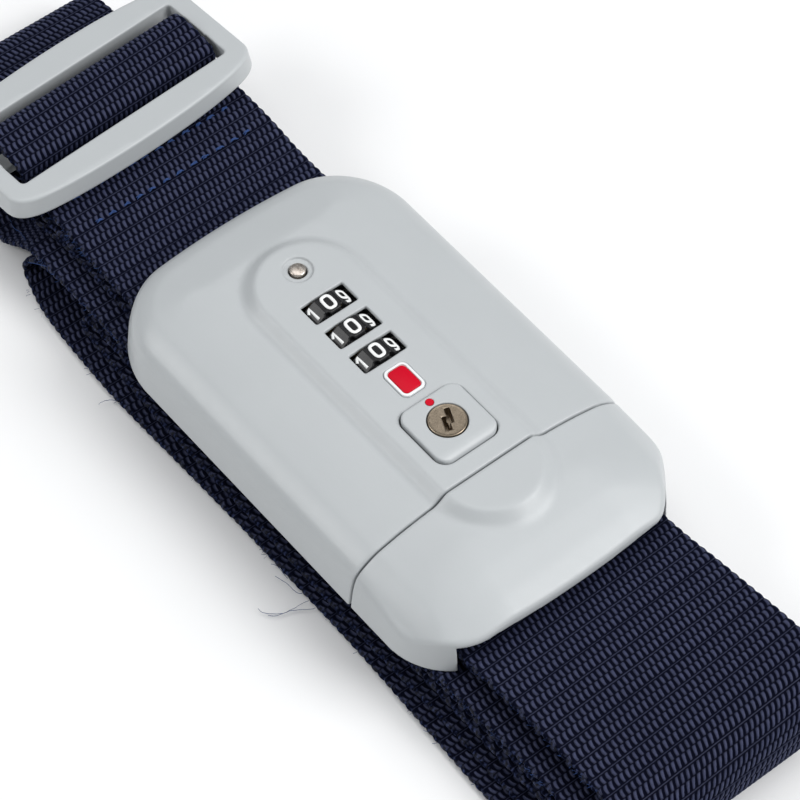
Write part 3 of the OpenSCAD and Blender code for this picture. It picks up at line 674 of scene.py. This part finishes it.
def webbing(name, path, fine, body, replaces, bend=None, phase=0.0, drift=0.0):
    """A strap along path, points (x, z, sideways shift) in mm.

    fine is a list of (test of x, z, s; side) zones that get their weave as relief;
    bend(x, y, z) gives an offset for points.
    """
    w, t = 50.0, 1.4
    p = np.array([(*q, 0.0)[:3] for q in path], float)
    s = np.concatenate([[0], np.cumsum(np.hypot(np.diff(p[:, 0]), np.diff(p[:, 1])))])
    total = s[-1]
    d = np.arange(0, total, 0.05)
    c = np.stack([np.interp(d, s, p[:, 0]), np.interp(d, s, p[:, 1])], 1)
    kern = np.hanning(33)
    kern /= kern.sum()
    ext = np.concatenate([c[0] + (c[0] - c[1]) * np.arange(16, 0, -1)[:, None], c,
                          c[-1] + (c[-1] - c[-2]) * np.arange(1, 17)[:, None]])
    c = np.stack([np.convolve(ext[:, i], kern, "valid") for i in (0, 1)], 1)
    side_shift = np.interp(d, s, p[:, 2])
    wide = np.hanning(401) / np.hanning(401).sum()
    side_shift = np.convolve(np.pad(side_shift, 200, "edge"), wide, "valid")
    side_shift = side_shift + drift * (np.sin(d * 0.043) + 0.6 * np.sin(d * 0.111 + 1))
    d = np.concatenate([[0], np.cumsum(np.hypot(*np.diff(c, axis=0).T))])
    total = d[-1]
    tan = np.gradient(c, axis=0)
    tan /= np.linalg.norm(tan, axis=1)[:, None]
    nrm = np.stack([-tan[:, 1], tan[:, 0]], 1)
    sides = [np.zeros(len(d)), np.zeros(len(d))]
    for test, side in fine:
        sides[side] = np.maximum(sides[side], test(c[:, 0], c[:, 1], d).astype(float))
    soft = np.hanning(41) / np.hanning(41).sum()
    masks = [np.clip(np.convolve(np.pad(m, 20, "edge"), soft, "valid"), 0, 1) for m in sides]
    rows, at = [], 0.0
    while at < total:
        rows.append(at)
        i = min(int(at / total * len(d)), len(d) - 1)
        at += 0.26 if max(masks[0][i], masks[1][i]) > 0 else 0.5
    rows[-1] = total
    rows = np.array(rows)
    get = lambda a: np.interp(rows, d, a)
    cx, cz, nx, nz = get(c[:, 0]), get(c[:, 1]), get(nrm[:, 0]), get(nrm[:, 1])
    mk = [get(m) for m in masks]
    y0 = get(side_shift)
    vf = np.linspace(-w / 2 + t / 2, w / 2 - t / 2, COLUMNS)
    verts, strap, faces = [], [], []
    prev = None
    scallop = 0.26 * (1 - np.abs(np.sin(np.pi * (rows + phase) * 2 / ROWS)))
    for i, at in enumerate(rows):
        ring = []
        for side in (0, 1):
            ids = np.arange(COLUMNS) if mk[side][i] > 0 else FEW
            v = vf[ids]
            u = np.full(len(v), at + phase)
            relief = (1 - weave(u.view(A), (v + 30).view(A))).view(np.ndarray) if mk[side][i] > 0 else 0.4
            off = t / 2 - RELIEF * (0.4 + (relief - 0.4) * mk[side][i])
            near_edge = np.clip((np.abs(v) - (w / 2 - 1.6)) / 0.9, 0, 1)
            off = off * (1 - near_edge) + (t / 2 - 0.1) * near_edge
            off = off * (1 if side == 0 else -1)
            squeeze = 1 - scallop[i] / (w / 2)
            start = len(verts)
            y = v * squeeze + y0[i]
            verts.extend(zip(cx[i] + nx[i] * off, y, cz[i] + nz[i] * off))
            strap.extend(zip(u, v + 30, np.full(len(v), mk[side][i])))
            ring.append((ids, start + np.arange(len(v))))
        # four vertices round each edge, from one side to the other
        edge = []
        for e in (1, -1):
            ang = np.radians([50, 17, -17, -50])
            start = len(verts)
            rr = t / 2 - 0.1
            ey = e * (w / 2 - t / 2 - scallop[i] + (rr + 0.1) * np.cos(ang)) + y0[i]
            eo = rr * np.sin(ang)
            verts.extend(zip(cx[i] + nx[i] * eo, ey, cz[i] + nz[i] * eo))
            strap.extend(zip(np.full(4, at + phase), 30 + e * (w / 2 - 0.1 - np.abs(ang) * 0.7), np.full(4, -1.0)))
            edge.append(start + np.arange(4))
        if prev is not None:
            (p_ring, p_edge) = prev
            for side in (0, 1):
                (ia, va), (ib, vb) = p_ring[side], ring[side]
                if len(ia) == len(ib):
                    q = np.stack([va[:-1], va[1:], vb[1:], vb[:-1]], 1)
                    faces.extend(map(tuple, q if side == 0 else q[:, ::-1]))
                else:
                    big, small, flip = (va, vb, False) if len(ia) > len(ib) else (vb, va, True)
                    for j in range(len(FEW) - 1):
                        poly = [*big[FEW[j]:FEW[j + 1] + 1], small[j + 1], small[j]]
                        if flip != (side == 1):
                            poly = poly[::-1]
                        faces.append(tuple(poly))
            for e in (0, 1):
                k = -1 if e == 0 else 0
                a = [p_ring[0][1][k], *p_edge[e], p_ring[1][1][k]]
                b = [ring[0][1][k], *edge[e], ring[1][1][k]]
                for j in range(5):
                    q = (a[j], a[j + 1], b[j + 1], b[j])
                    faces.append(q if e == 0 else q[::-1])
        loop = [*ring[0][1], *edge[0], *ring[1][1][::-1], *edge[1][::-1]]
        if prev is None:
            faces.append(tuple(loop[::-1]))
        prev = (ring, edge)
    faces.append(tuple(loop))
    verts = np.array(verts, float)
    if bend is not None:
        verts += bend(*verts.T)
    me = bpy.data.meshes.new(name)
    me.from_pydata([tuple(v) for v in verts * MM], [], [tuple(int(k) for k in f) for f in faces])
    a = me.attributes.new("strap", "FLOAT_VECTOR", "POINT")
    a.data.foreach_set("vector", np.array(strap, np.float32).ravel())
    return dress(name, me, WEB, body, replaces), total


def ramp(x, a, b):
    t = np.clip((x - a) / (b - a), 0, 1)
    return t * t * (3 - 2 * t)


def follow(x, y, z):
    """The loop follows the turned adjuster."""
    return np.stack([-0.042 * y * ramp(-x, 98, 106), 0 * y, 0 * z], 1)


# from the sewn end, round the adjuster's centre bar, back on top and round the bar in the lock
upper_path = [(-86.5, 14.6), (-98, 15), (-108, 15.4), (-113, 15.8), (-115.6, 16.7), (-117, 18.4),
              (-117.4, 20.3, -.6), (-117, 22.1, -.7), (-116, 23.4, -.7), (-114.4, 24.1, -.6),
              (-112.4, 24.2, -.5), (-110, 23.8, -.2), (-107, 23.2, .1), (-105.3, 22.4, .3),
              (-104.7, 21, .4), (-104.7, 19.2, .5), (-104.5, 18, .5), (-103.7, 17.1, .5),
              (-102.5, 16.8, .6), (-98, 16.9, .7), (-90, 16.5, .8), (-85, 16.1, .8),
              (-80, 15.6, .6), (-75, 15.7, .4), (-66.5, 16.4), *arc(-62, 14.2, 2.2, 90, -90),
              (-66.5, 12.1), (-72.2, 12.2)]
upper, upper_len = webbing("webbing_top_ply", upper_path,
                           [(lambda x, z, s: (s > 24) & (z > 15.3) & (s < 108), 0)],
                           "lock", ["webbing_upper"], bend=follow)
FLOOR = [(-99, -5.0), (-92, -7.6), (-82, -9.0), (-66, -9.8), (-40, -8.8), (16, -8.9), (54, -10.4)]


def floor_run(x0, x1):
    """The layer on the floor, which wanders sideways a little."""
    xs = np.linspace(x0, x1, max(2, int(abs(x1 - x0) / 8)))
    return [(x, 0.7, float(np.interp(x, *np.array(FLOOR).T))) for x in xs]


# out to the left fold, back under the lock, then to and fro in layers down to the floor
bundle_path = [(-72.5, 12.2), (-90, 12.3), (-112, 11.4, -1.6), (-130, 10.0, -3.3), (-141, 9.4, -3.7),
               *arc(-142, 5.05, 4.35, 90, 270, -3.7, -4), (-122, .7, -4), (-110, .75, -4),
               (-106.5, 1.4, -4.2), (-102.8, 4.2, -4.4), (-99.5, 7.0, -4.5), (-95.5, 9.5, -4.6),
               (-91, 10.45, -4.7), (-86, 10.5, -4.7), (0, 10.45, -4.7), (30, 10.6, -4.7),
               (40, 10.75, -4.6), (48, 10.6, -4.6), (56, 10.7, -4.6), (64, 10.5, -4.6),
               *arc(71, 6.4, 4.1, 90, -90, -4.8, -7), (60, 2.3, -7.5), (0, 2.2, -6.8), (-50, 2.3, -6.6),
               (-72, 2.3, -6), *arc(-75.5, 4.35, 2.05, 270, 90, -5.6, -5.2), (-60, 6.2, -5),
               (0, 6.6, -5.4), (60, 6.6, -5.6), *arc(65, 7.6, 1.0, -90, 90, -5.4, -5.0), (60, 8.7, -5),
               (0, 8.8, -5.4), (-80, 8.7, -4.3), (-86, 8.6, -4.3), (-90, 8.3, -4.4), (-94, 7.2, -4.6),
               (-96.8, 4.9, -4.8), (-97.8, 2.9, -5), (-97, 1.3, -5.2), (-95.3, .75, -5.8),
               *floor_run(-92, -24.03)]
bundle_fine = [(lambda x, z, s: (x < -92) & (s > 14) & (s < 90), 1),
               (lambda x, z, s: (s > 105) & (s < 330) & (z > 3) & ((x < -62) | (x > 36)), 0),
               (lambda x, z, s: (s > 700) & (z < 6) & (x < -60), 0)]
bundle, bundle_len = webbing("webbing_folded", bundle_path, bundle_fine,
                             "lock", ["webbing_bundle"], phase=1.3, drift=0.25)


def twist(x, y, z):
    """The strap leaving the tongue is twisted: its far edge stands higher."""
    up = 1.9 * ramp(x, 40, 72) * (y / 25) * ramp(z, 5, 15)
    up = up + 0.25 * np.sin(x * 0.16 + y * 0.05) * ramp(x, 42, 50) * ramp(z, 8, 15)
    return np.stack([0 * x, 0 * y, up], 1)


tongue_path = [(40, 12.2), (30, 12), *arc(28, 14.2, 2.2, -90, -270, 0, -0.7), (34, 14.8, -.8),
               (38, 15.1, -.8), (45, 15.7, -.6), (52, 16.2, -.3), (62, 16.7), (70, 17.1), (74, 17.2),
               *arc(76.0, 9.0, 8.2, 84, -6, 0, -5), *arc(77.4, 7.7, 7, -4, -90, -5, -9.5),
               (73, .7, -10.2), (66, .7, -10.4)]
tongue, tongue_len = webbing("webbing_to_tongue", tongue_path,
                             [(lambda x, z, s: (x > 34) & (s > 15) & (z > 1.2), 0)],
                             "tongue", ["webbing_tongue"], bend=twist, phase=0.4)
run_path = [(66, .7, -10.4), *floor_run(60, -24.0)]
run, run_len = webbing("webbing_floor_run", run_path, [(lambda x, z, s: x > 20, 1)],
                       None, ["webbing_tongue"], phase=0.4 + tongue_len)
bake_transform(run)


def stitching(name, rows, body, replaces):
    """Short fuzzy stitches lying on the webbing; rows of (x, y0, y1, z)."""
    verts, faces = [], []
    for x, ya, yb, z in rows:
        n = int((yb - ya) / 3.3)
        for i in range(n):
            y = ya + (yb - ya) * (i + 0.5) / n + rng.uniform(-0.3, 0.3)
            for strand in range(2):
                half, bend = rng.uniform(0.7, 1.05), rng.uniform(-0.12, 0.12)
                lean = rng.uniform(-0.35, 0.35)
                ts = np.linspace(-1, 1, 9)
                px = x + lean * ts * 0.5 + bend * np.sin(ts * 5 + strand * 2) + (strand - 0.5) * 0.26
                py = y + half * ts
                pz = z + 0.10 * (1 - ts ** 2) - 0.22 * np.abs(ts) ** 3
                rad = 0.15 * (1 - 0.5 * np.abs(ts) ** 4)
                base = len(verts)
                for k in range(9):
                    for j in range(7):
                        a = 2 * math.pi * j / 7 + k * 0.5
                        g = rad[k] * rng.uniform(0.8, 1.2)
                        verts.append((px[k] + g * math.cos(a), py[k], pz[k] + g * math.sin(a)))
                for k in range(8):
                    low, high = base + 7 * k, base + 7 * (k + 1)
                    for j in range(7):
                        nxt = (j + 1) % 7
                        faces.append((low + j, low + nxt, high + nxt, high + j))
                faces.append(tuple(base + j for j in range(6, -1, -1)))
                faces.append(tuple(base + 56 + j for j in range(7)))
    me = bpy.data.meshes.new(name)
    me.from_pydata([tuple(v) for v in np.array(verts) * MM], [], faces)
    me.update()
    outward(me)
    dress(name, me, THREAD, body, replaces)


def hairs(name, starts, body):
    """Loose fibres: thin curling threads; starts has ((x, y, z), direction, length)."""
    verts, faces = [], []
    for (x, y, z), turn, length in starts:
        n, r = (26, 0.045) if length > 2.5 else (7, 0.035)
        a, p = turn, np.array((x, y, z), float)
        pts = []
        for i in range(n):
            pts.append(p.copy())
            a += rng.normal(0, 0.16) + 0.05 * math.sin(i * 0.5 + turn)
            p += np.array((math.cos(a), math.sin(a), 0.05 * math.cos(i * 0.4))) * length / n
            p[2] = max(p[2], 0.06)
        base = len(verts)
        for q in pts:
            verts += [tuple(q + np.array(d)) for d in ((0, 0, r), (r, -r, -r * 0.6), (-r, r, -r * 0.6))]
        for i in range(n - 1):
            for j in range(3):
                k = (j + 1) % 3
                faces.append((base + 3 * i + j, base + 3 * i + k, base + 3 * i + 3 + k, base + 3 * i + 3 + j))
        faces += [(base + 2, base + 1, base), (base + 3 * n - 3, base + 3 * n - 2, base + 3 * n - 1)]
    me = bpy.data.meshes.new(name)
    me.from_pydata([tuple(v) for v in np.array(verts) * MM], [], faces)
    me.update()
    outward(me)
    dress(name, me, THREAD, body)


# short fibres along the near edges: body, y of the edge (None: the floor layer's), number, heights over x
EDGES = [("lock", None, 45, [(-94, 0.8), (64, 0.8)]),
         ("lock", -29.4, 30, [(-92, 10.5), (-64, 10.5)]),
         ("lock", -29.3, 30, [(38, 10.7), (68, 10.6)]),
         ("lock", -24.0, 45, [(-101, 16.9), (-90, 16.5), (-80, 15.7), (-70, 16.0)]),
         ("tongue", -24.7, 45, [(40, 15.3), (50, 15.5), (60, 15.2), (70, 15.2), (76, 15.1)])]
fuzz = {"lock": [], "tongue": []}
for body, y, n, line in EDGES:
    for x in rng.uniform(line[0][0], line[-1][0], n):
        edge = np.interp(x, *np.array(FLOOR).T) - 24.8 if y is None else y
        start = (x, edge, np.interp(x, *np.array(line).T) + rng.uniform(-0.4, 0.4))
        fuzz[body].append((start, rng.uniform(-2.9, -0.3), rng.uniform(0.5, 1.4)))
hairs("loose_fibres", [((0.5, -33.9, 0.5), -1.9, 9), ((-1.5, -33.9, 0.6), -2.4, 7), ((2.5, -33.9, 0.4), -1.5, 12),
                       ((-6, -33.9, 0.5), -2.8, 5), *fuzz["lock"], ((-97, -29.2, 11.0), 2.6, 7),
                       ((-89, -29.8, 11), -2.3, 4), ((-60, -34.6, 0.8), -2.2, 4)], "lock")
hairs("tongue_fibres", fuzz["tongue"], "tongue")
stitching("stitches_adjuster", [(-87.6, -19, 21, 17.08), (-95.0, -19, 21, 17.5)], "lock", ["stitch_adjuster"])

# ------------------------------------------------------------------ CAD nodes with better materials
looks = {
    SHELL_IN: ["lock_base", "tongue_base"],
    STEEL: ["cover_screws", "tongue_screws", "dial_axle", "detent_spring", "reset_spring",
            "sleeve_return_spring", "button_springs", "key_cam", "catch_spring", "lock_strap_bar",
            "tongue_blade", "tongue_strap_bar"],
    BRASS: ["code_sleeve_1", "code_sleeve_2", "code_sleeve_3", "key_wafers"],
    INNER: ["reset_carriage", "code_fence"],
    PLUG: ["key_cylinder"], RED: ["open_mark"], THREAD: ["stitch_tongue"]}
for m, names in looks.items():
    for n in names:
        NODES[n].data.materials.clear()
        NODES[n].data.materials.append(m)

# ------------------------------------------------------------------ floor
floor_look = Look("floor")
floor_look.set(Base_Color=floor_look.mix((0.86, 0.86, 0.86), (0.90, 0.90, 0.90), floor_look.noise(0.02, 3.0)),
               Roughness=0.8)
me = bpy.data.meshes.new("floor")
REACH, DROP = 6, -0.0004
me.from_pydata([(-REACH, -REACH, DROP), (REACH, -REACH, DROP), (REACH, REACH, DROP), (-REACH, REACH, DROP)],
               [], [(0, 1, 2, 3)])
me.materials.append(floor_look.m)
floor = bpy.data.objects.new("floor", me)
scene.collection.objects.link(floor)

bpy.context.view_layer.update()
